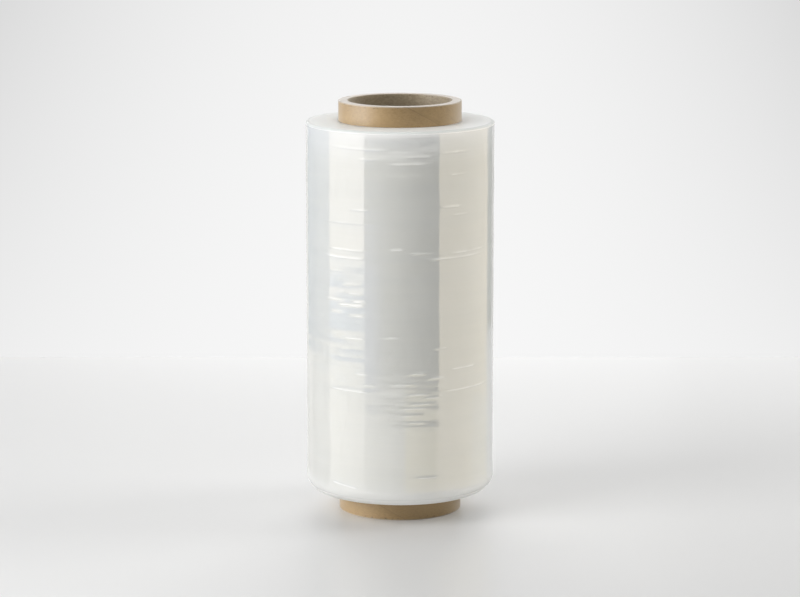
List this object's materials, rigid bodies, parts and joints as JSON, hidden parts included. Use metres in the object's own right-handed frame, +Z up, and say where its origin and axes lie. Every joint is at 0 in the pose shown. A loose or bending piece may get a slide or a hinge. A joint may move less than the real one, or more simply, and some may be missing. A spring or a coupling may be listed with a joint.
{
  "type": "stretch wrap roll",
  "caption": "Roll of clear stretch film wound on a cardboard core that stands proud of the film at both ends, standing upright on the core's rim.",
  "frame": {"origin": "centre of the core's lower rim, on the surface that the roll stands on", "axes": "+Z up along the core's axis, towards the upper rim; the roll is round about Z, with the film's free end at the back, near +Y"},
  "size_m": [0.1388, 0.1388, 0.3048],
  "materials": {
    "kraft_board": "matt brown kraft paper, wound in spiral plies",
    "clear_film": "many turns of clear stretch film, milky in the mass and glossy outside"
  },
  "bodies": {
    "root": {"cardboard_core": "kraft_board", "film_roll": "clear_film"}
  },
  "joints": []
}
